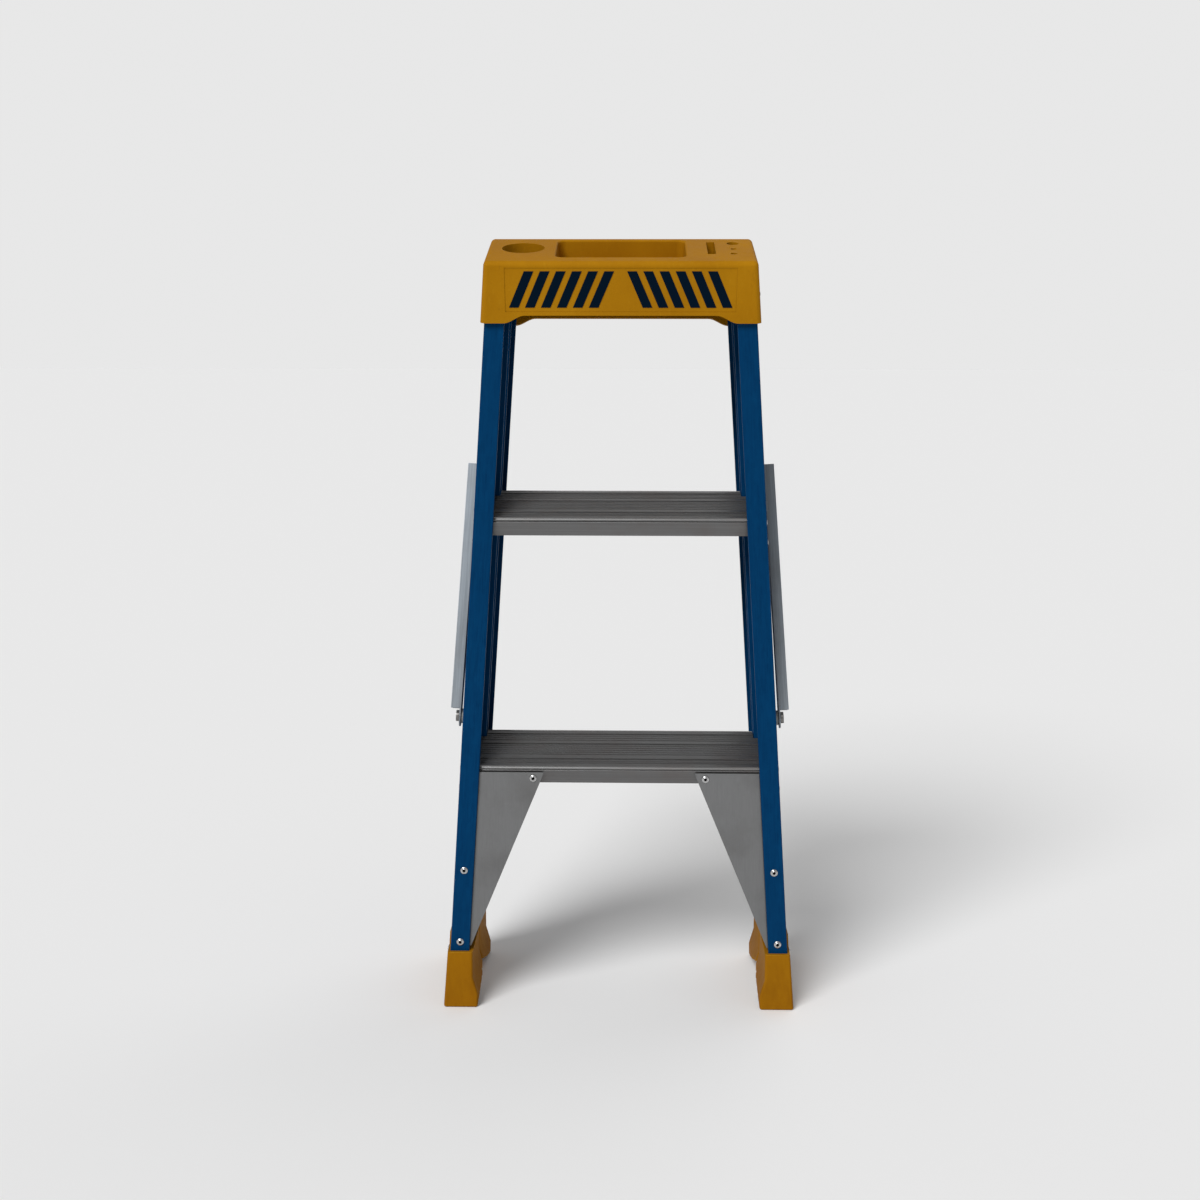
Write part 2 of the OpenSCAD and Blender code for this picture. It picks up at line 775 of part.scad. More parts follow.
placed_front() stile(LEFT);  // front_left_stile
placed_front() stile(RIGHT);  // front_right_stile
placed_front() tread(1);  // front_upper_tread
placed_front() tread(2);  // front_lower_tread
placed_front() cap();  // front_cap
placed_front() tray();  // front_tray
placed_front() holder();  // front_holder
placed_front() tool_plate();  // front_tool_plate
placed_front() cap_label();  // front_cap_label
placed_front() cap_screws();  // front_cap_screws
placed_front() brace(LEFT);  // front_left_brace
placed_front() brace(RIGHT);  // front_right_brace
placed_front() brace_rivets();  // front_brace_rivets
placed_front() tread_brackets();  // front_tread_brackets
placed_front() tread_rivet_set();  // front_tread_rivets
placed_front() foot(LEFT);  // front_left_foot
placed_front() foot(RIGHT);  // front_right_foot
placed_front() foot_rivets();  // front_foot_rivets
placed_front() hinge_plate(LEFT, true);  // front_left_hinge_plate
placed_front() hinge_plate(RIGHT, false);  // front_right_hinge_plate
placed_front() hinge_rivets();  // front_hinge_rivets
placed_rear() stile(RIGHT);  // rear_left_stile
placed_rear() stile(LEFT);  // rear_right_stile
placed_rear() tread(1);  // rear_upper_tread
placed_rear() tread(2);  // rear_lower_tread
placed_rear() cap();  // rear_cap
placed_rear() tray();  // rear_tray
placed_rear() holder();  // rear_holder
placed_rear() tool_plate();  // rear_tool_plate
placed_rear() cap_label();  // rear_cap_label
placed_rear() cap_screws();  // rear_cap_screws
placed_rear() brace(RIGHT);  // rear_left_brace
placed_rear() brace(LEFT);  // rear_right_brace
placed_rear() brace_rivets();  // rear_brace_rivets
placed_rear() tread_brackets();  // rear_tread_brackets
placed_rear() tread_rivet_set();  // rear_tread_rivets
placed_rear() foot(RIGHT);  // rear_left_foot
placed_rear() foot(LEFT);  // rear_right_foot
placed_rear() foot_rivets();  // rear_foot_rivets
placed_rear() hinge_plate(RIGHT, false);  // rear_left_hinge_plate
placed_rear() hinge_plate(LEFT, true);  // rear_right_hinge_plate
placed_rear() hinge_rivets();  // rear_hinge_rivets
placed_front() hinge_bolt(LEFT);  // left_hinge_bolt
placed_front() hinge_bolt(RIGHT);  // right_hinge_bolt
placed_front() hinge_nuts();
placed_front() front_arm(LEFT);  // front_left_arm
placed_front() front_arm(RIGHT);  // front_right_arm
mirrored_rear() rear_arm(LEFT);  // rear_left_arm
mirrored_rear() rear_arm(RIGHT);  // rear_right_arm
placed_front() joint_rivet(LEFT);  // left_joint_rivet
placed_front() joint_rivet(RIGHT);  // right_joint_rivet
mirrored_rear() joint_stub(LEFT);  // left_joint_stub
mirrored_rear() joint_stub(RIGHT);  // right_joint_stub
placed_front() front_arm_bolts();
placed_front() front_arm_spacers();
placed_front() arm_nuts();  // front_arm_nuts
mirrored_rear() rear_arm_bolts();
mirrored_rear() rear_arm_washers();
mirrored_rear() arm_nuts();  // rear_arm_nuts
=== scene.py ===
"""Step ladder, folded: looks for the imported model. Lengths are in metres."""

import json
import math

import bmesh
import bpy
from mathutils import Matrix, Vector
from mathutils.bvhtree import BVHTree

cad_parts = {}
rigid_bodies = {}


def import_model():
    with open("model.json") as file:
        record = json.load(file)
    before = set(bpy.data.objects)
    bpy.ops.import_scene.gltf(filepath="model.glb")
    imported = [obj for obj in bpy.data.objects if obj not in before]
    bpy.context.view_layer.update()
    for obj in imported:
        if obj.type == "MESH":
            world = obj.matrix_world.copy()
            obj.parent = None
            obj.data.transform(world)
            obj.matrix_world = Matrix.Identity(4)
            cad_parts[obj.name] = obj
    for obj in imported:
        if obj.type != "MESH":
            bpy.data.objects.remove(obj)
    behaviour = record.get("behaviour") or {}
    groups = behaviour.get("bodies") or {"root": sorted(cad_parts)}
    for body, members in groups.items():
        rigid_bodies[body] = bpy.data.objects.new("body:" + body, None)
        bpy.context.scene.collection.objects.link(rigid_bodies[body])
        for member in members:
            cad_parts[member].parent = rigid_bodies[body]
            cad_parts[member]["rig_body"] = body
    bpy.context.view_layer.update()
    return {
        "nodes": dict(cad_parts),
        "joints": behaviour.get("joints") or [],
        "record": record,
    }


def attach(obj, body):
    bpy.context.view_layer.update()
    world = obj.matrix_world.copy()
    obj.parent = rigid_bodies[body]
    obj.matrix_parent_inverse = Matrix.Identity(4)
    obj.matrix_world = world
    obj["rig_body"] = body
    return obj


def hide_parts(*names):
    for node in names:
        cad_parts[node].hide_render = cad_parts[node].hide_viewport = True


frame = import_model()
nodes = frame["nodes"]
joints = {j["name"]: j for j in frame["joints"]}
slot_of = {s["node"]: s["material_slot"] for s in frame["record"]["subparts"]}
MM = 0.001

CAMERA_AT = (0.015, -1.961, 0.812)
CAMERA_DOWN = 9.04  # degrees below level
CAMERA_TURN = 1.18
CAMERA_ROLL = 0.08
LENS = 47.6
SENSOR = 36
SKY_LIGHT = 0.31  # strength that the world lights with
SKY_SEEN = 0.805  # strength that the camera sees, which meets the floor without a horizon
FLOOR_TONE = 0.86
FLOOR_HALF = 60

SHARP_ANGLE = 35  # degrees; edges that turn more than this are rounded
FOOT_CORNER = 3 * MM  # the boot's upright corners, under its toe, and its other edges
FOOT_TOE = 1.8 * MM
FOOT_ROUND = 0.9 * MM
FOOT_LONG = 3.6 * MM  # shorter edges of the boot stay as they are
STILE_ROUND = 1.3 * MM
TREAD_ROUND = 0.3 * MM
LABEL_ROUND = 0.12 * MM
GROOVE_DROP = 5.0 * MM  # the tread's groove: its middle below the top, half width and depth
GROOVE_HALF = 0.8 * MM
GROOVE_DEPTH = 1.2 * MM
CAP_ROUND = {"cap": 0.5 * MM, "tray": 2.2 * MM, "holder": 2.2 * MM, "tool_plate": 0.9 * MM}

# The frames were designed level, as they stand when open, and tilted to fold
hinge = Vector(joints["rear_fold"]["pos_m"])
fold_tilt = math.radians(joints["rear_fold"]["range_deg"][1]) / 2
LEVEL = {
    "front": Matrix.Translation(hinge) @ Matrix.Rotation(fold_tilt, 4, "X"),
    "rear": Matrix.Rotation(math.pi, 4, "Z")
    @ Matrix.Translation(hinge)
    @ Matrix.Rotation(fold_tilt, 4, "X"),
}


# ---- Camera, light and floor ----


def make_camera():
    """The camera stands a little below the cap's height and looks slightly down."""
    data = bpy.data.cameras.new("camera")
    data.sensor_width = SENSOR
    data.lens = LENS
    camera = bpy.data.objects.new("camera", data)
    turn = Matrix.Rotation(math.radians(CAMERA_TURN), 4, "Z")
    pitch = Matrix.Rotation(math.radians(90 - CAMERA_DOWN), 4, "X")
    roll = Matrix.Rotation(math.radians(CAMERA_ROLL), 4, "Z")
    camera.matrix_world = Matrix.Translation(CAMERA_AT) @ turn @ pitch @ roll
    bpy.context.scene.collection.objects.link(camera)
    bpy.context.scene.camera = camera


def soft_sun(name, direction, strength, angle):
    """A sun so wide that it lights like a softbox, evenly over the whole floor."""
    data = bpy.data.lights.new(name, "SUN")
    data.energy = strength
    data.angle = math.radians(angle)
    lamp = bpy.data.objects.new(name, data)
    lamp.rotation_euler = Vector(direction).to_track_quat("-Z", "Y").to_euler()
    bpy.context.scene.collection.objects.link(lamp)


def make_world():
    """An even white world, paler to the camera than the light that it gives."""
    world = bpy.data.worlds.new("studio")
    bpy.context.scene.world = world
    world.use_nodes = True
    tree = world.node_tree
    background = tree.nodes["Background"]
    background.inputs["Color"].default_value = (1, 1, 1, 1)
    path = tree.nodes.new("ShaderNodeLightPath")
    level = tree.nodes.new("ShaderNodeMapRange")
    level.inputs["To Min"].default_value = SKY_LIGHT
    level.inputs["To Max"].default_value = SKY_SEEN
    tree.links.new(path.outputs["Is Camera Ray"], level.inputs["Value"])
    tree.links.new(level.outputs["Result"], background.inputs["Strength"])


def make_floor():
    """A matt floor wide enough to reach the horizon."""
    mesh = bpy.data.meshes.new("floor")
    half = FLOOR_HALF
    mesh.from_pydata([(-half, -half, 0), (half, -half, 0), (half, half, 0), (-half, half, 0)],
                     [], [(0, 1, 2, 3)])
    floor = bpy.data.objects.new("floor", mesh)
    bpy.context.scene.collection.objects.link(floor)
    material = bpy.data.materials.new("floor")
    material.use_nodes = True
    shader = material.node_tree.nodes["Principled BSDF"]
    shader.inputs["Base Color"].default_value = (FLOOR_TONE, FLOOR_TONE, FLOOR_TONE, 1)
    shader.inputs["Roughness"].default_value = 1
    shader.inputs["Specular IOR Level"].default_value = 0
    mesh.materials.append(material)


# ---- Materials ----


def long_turn(node):
    """The turn that takes Z to the node's longest direction, for grain to follow."""
    points = [v.co for v in nodes[node].data.vertices]
    middle = sum(points, Vector()) / len(points)
    along = Vector((0, 0, 1))
    for _ in range(20):
        along = sum(((p - middle).dot(along) * (p - middle) for p in points), Vector()).normalized()
    return along.to_track_quat("Z", "Y")


class Finish:
    """A Principled material with a few shorthand node builders."""

    def __init__(self, name, roughness=0.5, metallic=0.0, specular=0.5, tint=(1, 1, 1), turn=None):
        self.material = bpy.data.materials.new(name)
        self.material.use_nodes = True
        self.tree = self.material.node_tree
        self.shader = self.tree.nodes["Principled BSDF"]
        self.shader.inputs["Roughness"].default_value = roughness
        self.shader.inputs["Metallic"].default_value = metallic
        self.shader.inputs["Specular IOR Level"].default_value = specular
        self.shader.inputs["Specular Tint"].default_value = tuple(tint) + (1,)
        self.place = self.tree.nodes.new("ShaderNodeTexCoord").outputs["Object"]
        if turn:
            mapping = self.tree.nodes.new("ShaderNodeMapping")
            mapping.inputs["Rotation"].default_value = turn.inverted().to_euler()
            self.link(self.place, mapping.inputs["Vector"])
            self.place = mapping.outputs["Vector"]

    def link(self, output, socket):
        self.tree.links.new(output, socket)

    def noise(self, scale, detail=4.0, roughness=0.6):
        """Noise with scale grains to the metre, one number or one for each axis."""
        scale = scale if isinstance(scale, tuple) else (scale,) * 3
        mapping = self.tree.nodes.new("ShaderNodeMapping")
        mapping.inputs["Scale"].default_value = scale
        self.link(self.place, mapping.inputs["Vector"])
        node = self.tree.nodes.new("ShaderNodeTexNoise")
        node.inputs["Scale"].default_value = 1
        node.inputs["Detail"].default_value = detail
        node.inputs["Roughness"].default_value = roughness
        self.link(mapping.outputs["Vector"], node.inputs["Vector"])
        return node.outputs["Fac"]

    def edges(self, radius):
        """1 on edges and corners, fading to 0 a radius away."""
        bevel = self.tree.nodes.new("ShaderNodeBevel")
        bevel.samples = 4
        bevel.inputs["Radius"].default_value = radius
        normal = self.tree.nodes.new("ShaderNodeNewGeometry").outputs["Normal"]
        dot = self.tree.nodes.new("ShaderNodeVectorMath")
        dot.operation = "DOT_PRODUCT"
        self.link(bevel.outputs["Normal"], dot.inputs[0])
        self.link(normal, dot.inputs[1])
        return self.span(dot.outputs["Value"], 1.0, 0.0, 0.80, 0.985)

    def crevice_shade(self, distance, deep=0.25, open_air=0.75):
        """1 deep inside pits and corners narrower than distance, 0 in the open: the mask for
        painted shade.
        """
        node = self.tree.nodes.new("ShaderNodeAmbientOcclusion")
        node.samples = 6
        node.inputs["Distance"].default_value = distance
        return self.span(node.outputs["AO"], 1.0, 0.0, deep, open_air)

    def height(self, low, high):
        """0 at a height of low above the floor, 1 at high."""
        axes = self.tree.nodes.new("ShaderNodeSeparateXYZ")
        self.link(self.place, axes.inputs["Vector"])
        return self.span(axes.outputs["Z"], 0.0, 1.0, low, high)

    def span(self, value, low, high, start=0.3, end=0.7):
        """Maps a value's range onto another, clamped."""
        node = self.tree.nodes.new("ShaderNodeMapRange")
        node.inputs["From Min"].default_value = start
        node.inputs["From Max"].default_value = end
        node.inputs["To Min"].default_value = low
        node.inputs["To Max"].default_value = high
        self.link(value, node.inputs["Value"])
        return node.outputs["Result"]

    def mix(self, factor, a, b):
        """Blends two colours, each a tuple or another node's output."""
        node = self.tree.nodes.new("ShaderNodeMix")
        node.data_type = "RGBA"
        self.link(factor, node.inputs[0])
        for value, socket in ((a, node.inputs[6]), (b, node.inputs[7])):
            if isinstance(value, tuple):
                socket.default_value = value + (1,)
            else:
                self.link(value, socket)
        return node.outputs[2]

    def maths(self, operation, a, b, c=0.0):
        node = self.tree.nodes.new("ShaderNodeMath")
        node.operation = operation
        for value, socket in zip((a, b, c), node.inputs):
            if isinstance(value, float):
                socket.default_value = value
            else:
                self.link(value, socket)
        return node.outputs[0]

    def add(self, a, b, weight=1.0):
        return self.maths("MULTIPLY_ADD", b, float(weight), a)

    def worn_highlit_edges(self, radius, low=0.45, high=0.7, scale=60):
        """Edges, broken up so that only stretches of them are pale: partly wear, partly a painted
        highlight.
        """
        patches = self.span(self.noise((scale, scale, scale), 5, 0.7), 0.0, 1.0, low, high)
        return self.maths("MULTIPLY", self.edges(radius), patches)

    def colour(self, output):
        self.link(output, self.shader.inputs["Base Color"])

    def rough(self, output):
        self.link(output, self.shader.inputs["Roughness"])

    def bump(self, height, depth, strength=1.0):
        node = self.tree.nodes.new("ShaderNodeBump")
        node.inputs["Strength"].default_value = strength
        node.inputs["Distance"].default_value = depth
        self.link(height, node.inputs["Height"])
        self.link(node.outputs["Normal"], self.shader.inputs["Normal"])


def blue_fibreglass(turn):
    """Pultruded: fine glass strands run up the stile under a satin skin."""
    f = Finish("blue_fibreglass", roughness=0.5, specular=0.16, tint=(0.1, 0.5, 1.0), turn=turn)
    strands = f.noise((700, 700, 9), detail=6, roughness=0.65)
    mottle = f.noise((130, 130, 60), detail=5, roughness=0.7)
    patches = f.noise((22, 22, 6), detail=3)
    scuffs = f.noise((240, 240, 900), detail=6, roughness=0.75)
    base = f.mix(f.span(strands, 0.0, 1.0), (0.0005, 0.0210, 0.0720), (0.0012, 0.0390, 0.1200))
    base = f.mix(f.span(mottle, 0.0, 0.6, 0.4, 0.72), base, (0.0016, 0.0450, 0.1300))
    base = f.mix(f.span(patches, 0.0, 0.4), base, (0.0006, 0.0240, 0.0780))
    base = f.mix(f.span(scuffs, 0.0, 0.35, 0.66, 0.82), base, (0.020, 0.085, 0.150))
    # Pale blue-grey edges: partly wear, partly a painted highlight.
    base = f.mix(f.maths("MULTIPLY", f.worn_highlit_edges(1.6 * MM), 0.55), base, (0.030, 0.120, 0.190))
    f.colour(base)
    f.rough(f.span(f.add(strands, patches, 0.6), 0.40, 0.60, 0.5, 1.1))
    f.bump(f.add(strands, mottle, 0.5), 0.00016, 0.5)
    return f.material


def yellow_plastic(wear):
    """Injection moulded, with a fine grain and handling marks, darker in patches near the floor,
    and with painted shade in its corners.

    Wear is how pale the edges are, from 0 to 1: partly worn, partly a painted highlight.
    """
    f = Finish("yellow_plastic", roughness=0.5, specular=0.06, tint=(1.0, 0.72, 0.25))
    clouds = f.noise(11, detail=4)
    grain = f.noise(1500, detail=3)
    marks = f.noise((90, 90, 30), detail=7, roughness=0.75)
    streaks = f.noise((300, 300, 40), detail=5)
    base = f.mix(f.span(clouds, 0.0, 1.0), (0.315, 0.133, 0.0031), (0.390, 0.176, 0.0046))
    base = f.mix(f.span(grain, 0.0, 0.25), base, (0.30, 0.122, 0.0036))
    base = f.mix(f.span(marks, 0.0, 0.5, 0.62, 0.82), base, (0.19, 0.080, 0.006))
    base = f.mix(f.span(streaks, 0.0, 0.25, 0.55, 0.8), base, (0.46, 0.235, 0.012))
    # Darker in patches towards the floor, from 0.13 m down.
    dark_patches = f.maths("MULTIPLY", f.span(marks, 0.5, 0.9), f.height(0.13, 0.03))
    base = f.mix(dark_patches, base, (0.215, 0.080, 0.0030))
    # Painted shade: corners, seams and recesses narrower than 3 mm are darkened to brown.
    base = f.mix(f.maths("MULTIPLY", f.crevice_shade(3 * MM), 0.6), base, (0.10, 0.036, 0.002))
    if wear:
        # Pale edges: partly wear, partly a painted highlight.
        edges = f.maths("MULTIPLY", f.worn_highlit_edges(2.2 * MM, 0.3, 0.65), wear)
        base = f.mix(edges, base, (0.56, 0.31, 0.03))
    f.colour(base)
    f.rough(f.span(f.add(clouds, marks, 0.8), 0.50, 0.68, 0.6, 1.2))
    f.bump(f.add(grain, marks, 0.6), 0.00014, 0.6)
    return f.material


def navy_marking():
    f = Finish("navy_marking", roughness=0.42, specular=0.1, tint=(0.2, 0.5, 1.0))
    wear = f.noise(420, detail=7, roughness=0.75)
    f.colour(f.mix(f.span(wear, 0.0, 0.9, 0.66, 0.78), (0.0008, 0.0045, 0.0110),
                   (0.10, 0.045, 0.003)))
    f.rough(f.span(wear, 0.36, 0.55))
    f.bump(f.noise(1500, detail=3), 0.00006, 0.5)
    return f.material


def metal(name, tone, grain, roughness, depth=0.00008, warm=0.0, contrast=0.15,
          reach=1.6 * MM, wear=0.4, dark_patches=(0.52, 0.50, 0.48), turn=None):
    """Mill-finish metal: its drawing lines run along the axis with the fewest grains.

    The colour of smudges and pits is given beside the metal's tone, and hollows narrower than
    reach are painted nearly black as shade.
    """
    f = Finish(name, roughness=roughness, metallic=0.85, turn=turn)
    tint = Vector((1 + warm, 1, 1 - warm))
    dark, light, worn_highlight = (tuple(tone * k * tint) for k in (1 - contrast, 1 + contrast, 1.75))
    dirt = tuple(tone * part for part in dark_patches)
    lines = f.noise(grain, detail=7, roughness=0.68)
    smudges = f.noise(14, detail=5)
    pits = f.noise(700, detail=4, roughness=0.7)
    base = f.mix(f.span(lines, 0.0, 1.0, 0.34, 0.66), dark, light)
    base = f.mix(f.span(smudges, 0.0, 0.4, 0.45, 0.75), base, dirt)
    base = f.mix(f.span(pits, 0.0, 0.6, 0.66, 0.80), base, dirt)
    # Pale edges: partly wear, partly a painted highlight, stronger as wear rises.
    base = f.mix(f.maths("MULTIPLY", f.worn_highlit_edges(0.8 * MM, 0.6 - wear, 0.7), wear), base, worn_highlight)
    # Painted shade: hollows narrower than reach, such as rivet pits and the rings at their seats,
    # go nearly black.
    base = f.mix(f.crevice_shade(reach, 0.35, 0.8), base, tuple(tone * 0.03 * tint))
    f.colour(base)
    f.rough(f.span(f.add(lines, smudges, 0.9), roughness - 0.1, roughness + 0.12, 0.6, 1.3))
    f.bump(lines, depth, 0.5)
    return f.material


def nylon():
    f = Finish("nylon", roughness=0.5)
    f.colour(f.mix(f.span(f.noise(120), 0.0, 1.0), (0.42, 0.42, 0.38), (0.52, 0.52, 0.48)))
    f.bump(f.noise(1500), 0.00005, 0.4)
    return f.material


MATERIALS = {
    "yellow_plastic": yellow_plastic(0.55),
    "navy_marking": navy_marking(),
    # Strong wear paints its ribs' edges bright: partly wear, partly a painted highlight.
    "ribbed_aluminium": metal("ribbed_aluminium", 0.155, (6, 800, 800), 0.42, 0.00004,
                              contrast=0.13, wear=0.75, dark_patches=(0.88, 0.66, 0.58)),
    "sheet_aluminium": metal("sheet_aluminium", 0.21, (900, 900, 40), 0.50, warm=-0.01,
                             contrast=0.07),
    # Its reach of 4 mm paints shade into each rivet's pit and round its seat.
    "rivet_metal": metal("rivet_metal", 0.50, (400, 400, 400), 0.22, reach=4 * MM),
    "zinc_steel": metal("zinc_steel", 0.22, (300, 300, 300), 0.36, warm=0.03),
    "nylon": nylon(),
}


# Without pale edges (wear and painted highlight), which would show where the cap's four nodes meet
CAP_PLASTIC = yellow_plastic(0)


def material_of(node):
    """Stiles and arms each have their own, as their strands and lines run along them."""
    slot = slot_of[node]
    if slot == "yellow_plastic" and not node.endswith("foot"):
        return CAP_PLASTIC
    if slot == "blue_fibreglass":
        return blue_fibreglass(long_turn(node))
    if slot == "spreader_aluminium":
        return metal(slot, 0.29, (700, 700, 10), 0.44, warm=-0.10, turn=long_turn(node))
    return MATERIALS[slot]


# ---- Pieces ----


def joined_copy(node):
    """The CAD node's mesh with its split vertices joined."""
    mesh = bmesh.new()
    mesh.from_mesh(nodes[node].data)
    bmesh.ops.remove_doubles(mesh, verts=mesh.verts, dist=1e-6)
    return mesh


def clean_copy(node):
    """The same with its flat faces in one piece."""
    mesh = joined_copy(node)
    bmesh.ops.dissolve_limit(mesh, angle_limit=math.radians(0.5), verts=mesh.verts,
                             edges=mesh.edges, delimit=set())
    mesh.normal_update()
    return mesh


def sharp(edge, angle=SHARP_ANGLE):
    return len(edge.link_faces) == 2 and edge.calc_face_angle(0) > math.radians(angle)


def round_edges(mesh, radius, steps, wanted, clamp=True):
    """Rounds the sharp edges that wanted() picks."""
    edges = [e for e in mesh.edges if sharp(e) and wanted(e)]
    bmesh.ops.bevel(mesh, geom=edges, offset=radius, segments=steps, profile=0.5,
                    affect="EDGES", clamp_overlap=clamp, miter_outer="ARC")


def longer(length):
    """A test for round_edges() that picks the edges over a length."""
    return lambda e: e.calc_length() > length


def finish_piece(mesh, node):
    """Turns a bmesh into the shaded object that stands for a CAD node."""
    bmesh.ops.dissolve_degenerate(mesh, edges=mesh.edges, dist=3e-6)
    mesh.normal_update()
    data = bpy.data.meshes.new(node + "_piece")
    for face in mesh.faces:
        face.smooth = True
    for edge in mesh.edges:
        edge.smooth = not sharp(edge, 30)
    mesh.to_mesh(data)
    mesh.free()
    data.materials.append(material_of(node))
    piece = bpy.data.objects.new(node + "_piece", data)
    bpy.context.scene.collection.objects.link(piece)
    weights = piece.modifiers.new("weights", "WEIGHTED_NORMAL")
    weights.keep_sharp = True
    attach(piece, nodes[node]["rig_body"])
    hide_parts(node)


def refine(node, radius=0.4 * MM, steps=2, shortest=1.0 * MM):
    """Stands for a CAD node, with its edges broken as a real part's are."""
    mesh = clean_copy(node)
    round_edges(mesh, radius, steps, longer(shortest))
    finish_piece(mesh, node)


# Moulded cap: four nodes that meet face to face. Their shared edges stay sharp, so that
# they show as one moulding.

def cap_group(end):
    return [f"{end}_{part}" for part in ("cap", "tray", "holder", "tool_plate")]


def refine_cap(end):
    """Rounds the half cap's outer edges and the lips of its openings."""
    group = cap_group(end)
    meshes = {n: clean_copy(n) for n in group}
    trees = {n: BVHTree.FromBMesh(m) for n, m in meshes.items()}

    def on_seam(edge, node):
        middle = (edge.verts[0].co + edge.verts[1].co) / 2
        return any(trees[n].find_nearest(middle, 0.06 * MM)[0] is not None
                   for n in group if n != node)

    up = LEVEL[end].to_3x3() @ Vector((0, 0, 1))
    for node, mesh in meshes.items():
        radius = CAP_ROUND[node.split("_", 1)[1]]
        seams = {e for e in mesh.edges if sharp(e) and on_seam(e, node)}

        def rim(e):
            on_top = any(f.normal.dot(up) > 0.99 for f in e.link_faces)
            return e not in seams and on_top and e.is_convex

        if "_cap" in node:
            round_edges(mesh, radius, 2, lambda e: e not in seams and longer(1 * MM)(e))
        else:
            round_edges(mesh, radius, 4, rim)
        finish_piece(mesh, node)


def components(mesh):
    """The mesh's separate solids, each as a list of vertices."""
    left, found = set(mesh.verts), []
    while left:
        stack, part = [left.pop()], []
        while stack:
            vert = stack.pop()
            part.append(vert)
            for edge in vert.link_edges:
                other = edge.other_vert(vert)
                if other in left:
                    left.remove(other)
                    stack.append(other)
        found.append(part)
    return found


def lathe(mesh, profile, origin, axis, steps=40):
    """Adds the solid that a profile of (radius, height) makes about an axis."""
    turn = Vector((0, 0, 1)).rotation_difference(axis).to_matrix()
    rings = []
    for radius, height in profile:
        count = 1 if radius == 0 else steps
        rings.append([mesh.verts.new(origin + turn @ Vector((
            radius * math.cos(2 * math.pi * i / steps),
            radius * math.sin(2 * math.pi * i / steps), height))) for i in range(count)])
    for low, high in zip(rings, rings[1:]):
        for i in range(steps):
            j = (i + 1) % steps
            corners = [low[i % len(low)], low[j % len(low)], high[j % len(high)],
                       high[i % len(high)]]
            mesh.faces.new(list(dict.fromkeys(corners)))


def rivet_profile(r, h, depth):
    """A blind rivet: a low dome with a pit where its mandrel broke off, and a bulb behind.

    Points are (radius, height above the seat) from the tail to the bottom of the pit, for a
    head of radius r and height h and a shank of length depth, all in mm.
    """
    tail = [(0, 0), (2.4, 0), (3.2, 0.4), (3.5, 0.9), (3.3, 1.4), (2.4, 1.5)]
    dome = [(r * math.cos(math.radians(k)), h * (0.2 + 0.8 * math.sin(math.radians(k))))
            for k in range(0, 57, 7)]
    pit = [(0.50, 0.99), (0.44, 0.97), (0.41, 0.90), (0.40, 0.70), (0.39, -1.4), (0.24, -1.4),
           (0.20, -1.2), (0.08, -1.1), (0, -1.1)]
    points = [(x, z - depth) for x, z in tail] + [(2.4, -0.02), (r * 0.95, 0)]
    points += dome + [(r * x, h * z) for x, z in pit]
    return [(x * MM, z * MM) for x, z in points]


def refine_rivets(node):
    """Gives each of the node's rivets its rolled edge, pit and mandrel stub."""
    source = clean_copy(node)
    mesh = bmesh.new()
    for part in components(source):
        faces = {f for v in part for f in v.link_faces}
        axis = max(faces, key=lambda f: f.calc_area()).normal.copy()
        across = axis.orthogonal().normalized()
        other = axis.cross(across)

        def spread(direction):
            values = [v.co.dot(direction) for v in part]
            return min(values), max(values)

        centre = sum((direction * sum(spread(direction)) / 2 for direction in (across, other)),
                     Vector())

        def reach(v):
            return (v.co - v.co.dot(axis) * axis - centre).length

        widest = max(reach(v) for v in part)
        low, high = spread(axis)
        rim = [v.co.dot(axis) for v in part if reach(v) > 0.98 * widest]
        if sum(rim) / len(rim) < (low + high) / 2:
            axis = -axis
            low, high = -high, -low
            rim = [-station for station in rim]
        seat = min(rim)  # where the head lies on the sheet
        profile = rivet_profile(widest / MM, (high - seat) / MM, (seat - low) / MM)
        lathe(mesh, profile, centre + axis * seat, axis)
    source.free()
    bmesh.ops.recalc_face_normals(mesh, faces=mesh.faces)
    finish_piece(mesh, node)


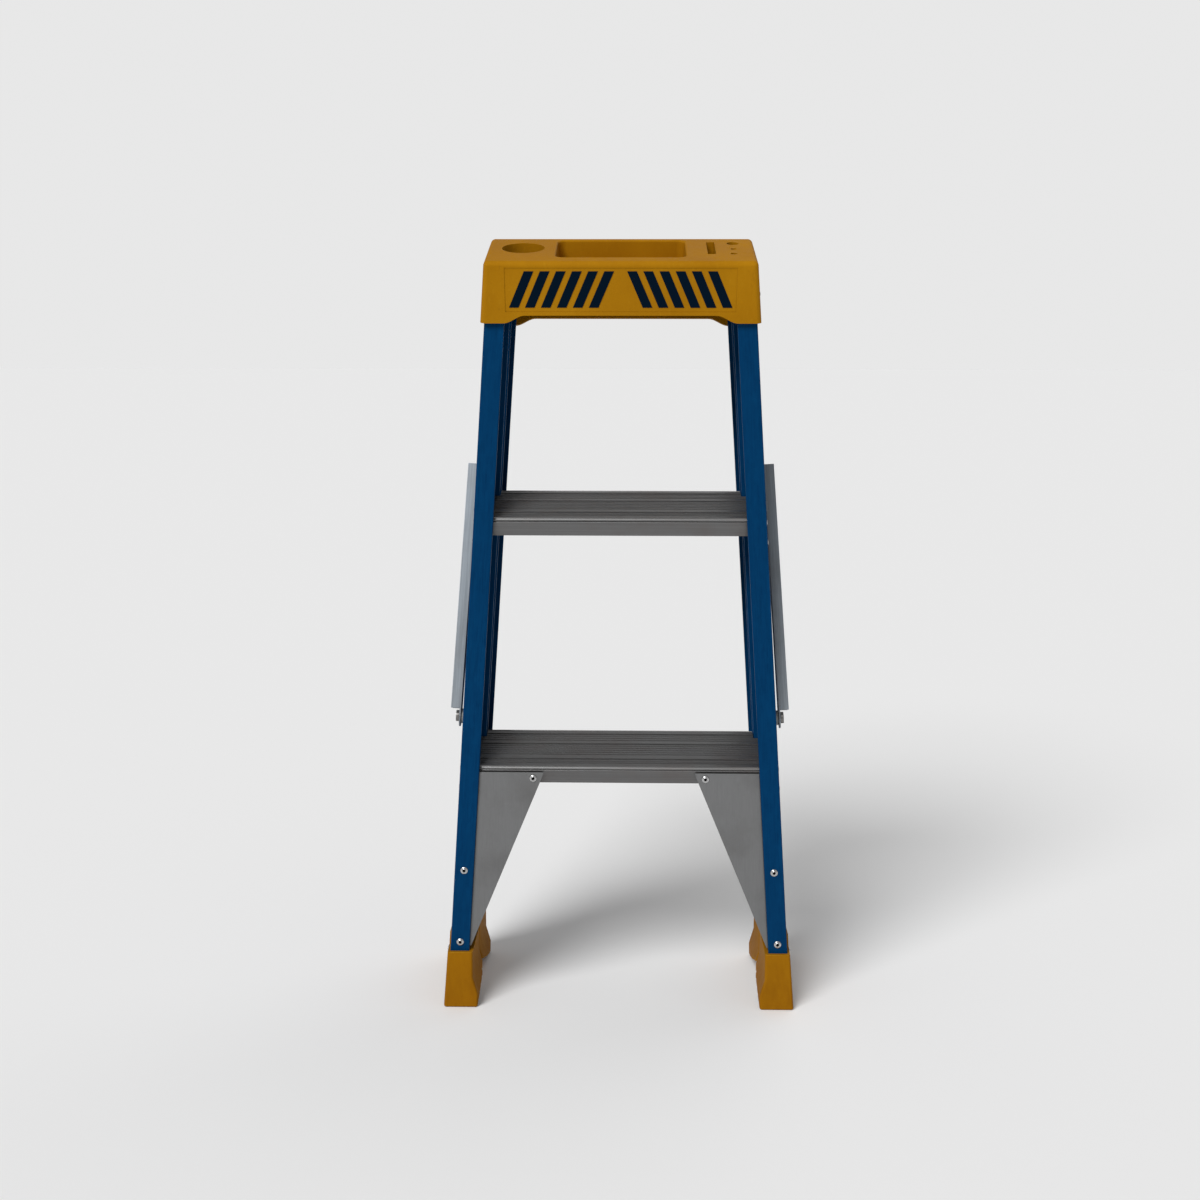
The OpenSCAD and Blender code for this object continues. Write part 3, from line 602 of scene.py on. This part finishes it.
def refine_foot(node):
    """The boot is well rounded at its toe's and heel's upright corners and under the toe."""
    mesh = clean_copy(node)
    ends = [pick(v.co.y for v in mesh.verts) for pick in (min, max)]
    toe = min(mesh.verts, key=lambda v: v.co.z).co.y

    def upright(e):
        a, b = (v.co for v in e.verts)
        middle, along = (a + b) / 2, (b - a).normalized()
        return e.is_convex and abs(along.z) > 0.8 and \
            min(abs(middle.y - end) for end in ends) < 3 * MM

    def under_toe(e):
        middle = (e.verts[0].co + e.verts[1].co) / 2
        return e.is_convex and abs(middle.y - toe) < 8 * MM and \
            all(v.co.z < 4.5 * MM for v in e.verts)

    round_edges(mesh, FOOT_CORNER, 4, upright, clamp=False)
    round_edges(mesh, FOOT_TOE, 3, under_toe, clamp=False)
    round_edges(mesh, FOOT_ROUND, 2, lambda e: sharp(e, 60) and longer(FOOT_LONG)(e))
    finish_piece(mesh, node)


def refine_tread(node):
    """Adds the fine groove that runs along the skirt just below the nosing."""
    place = LEVEL["rear" if node.startswith("rear") else "front"]
    mesh = clean_copy(node)
    mesh.transform(place.inverted())
    top = max(v.co.z for v in mesh.verts)
    front = min(v.co.y for v in mesh.verts)
    groove = top - GROOVE_DROP
    for height in (groove + GROOVE_HALF, groove, groove - GROOVE_HALF):
        bmesh.ops.bisect_plane(mesh, geom=mesh.verts[:] + mesh.edges[:] + mesh.faces[:],
                               plane_co=(0, 0, height), plane_no=(0, 0, 1))
    for vert in mesh.verts:
        if abs(vert.co.z - groove) < 0.01 * MM and vert.co.y < front + 0.05 * MM:
            vert.co.y += GROOVE_DEPTH
    mesh.transform(place)
    mesh.normal_update()
    round_edges(mesh, TREAD_ROUND, 2, longer(5 * MM), clamp=False)
    finish_piece(mesh, node)


make_camera()
make_world()
soft_sun("key", (0.55, 0.98, -1.0), 2.6, 30)
soft_sun("fill", (-0.6, -0.9, -0.9), 0.4, 60)
make_floor()
bpy.context.scene.view_settings.view_transform = "Standard"
for end in ("front", "rear"):
    refine_cap(end)
done = set(cap_group("front") + cap_group("rear"))
for node in sorted(set(nodes) - done):
    if node.endswith(("brace_rivets", "tread_rivets", "foot_rivets", "cap_screws", "hinge_rivets")):
        refine_rivets(node)
    elif node.endswith("foot"):
        refine_foot(node)
    elif node.endswith("stile"):
        refine(node, STILE_ROUND, 3, 5 * MM)
    elif node.endswith("tread"):
        refine_tread(node)
    elif node.endswith("label"):
        refine(node, LABEL_ROUND, 1)
    elif node.endswith("hinge_plate"):  # its mesh tears when rounded, so it stays square
        finish_piece(joined_copy(node), node)
    else:
        refine(node)
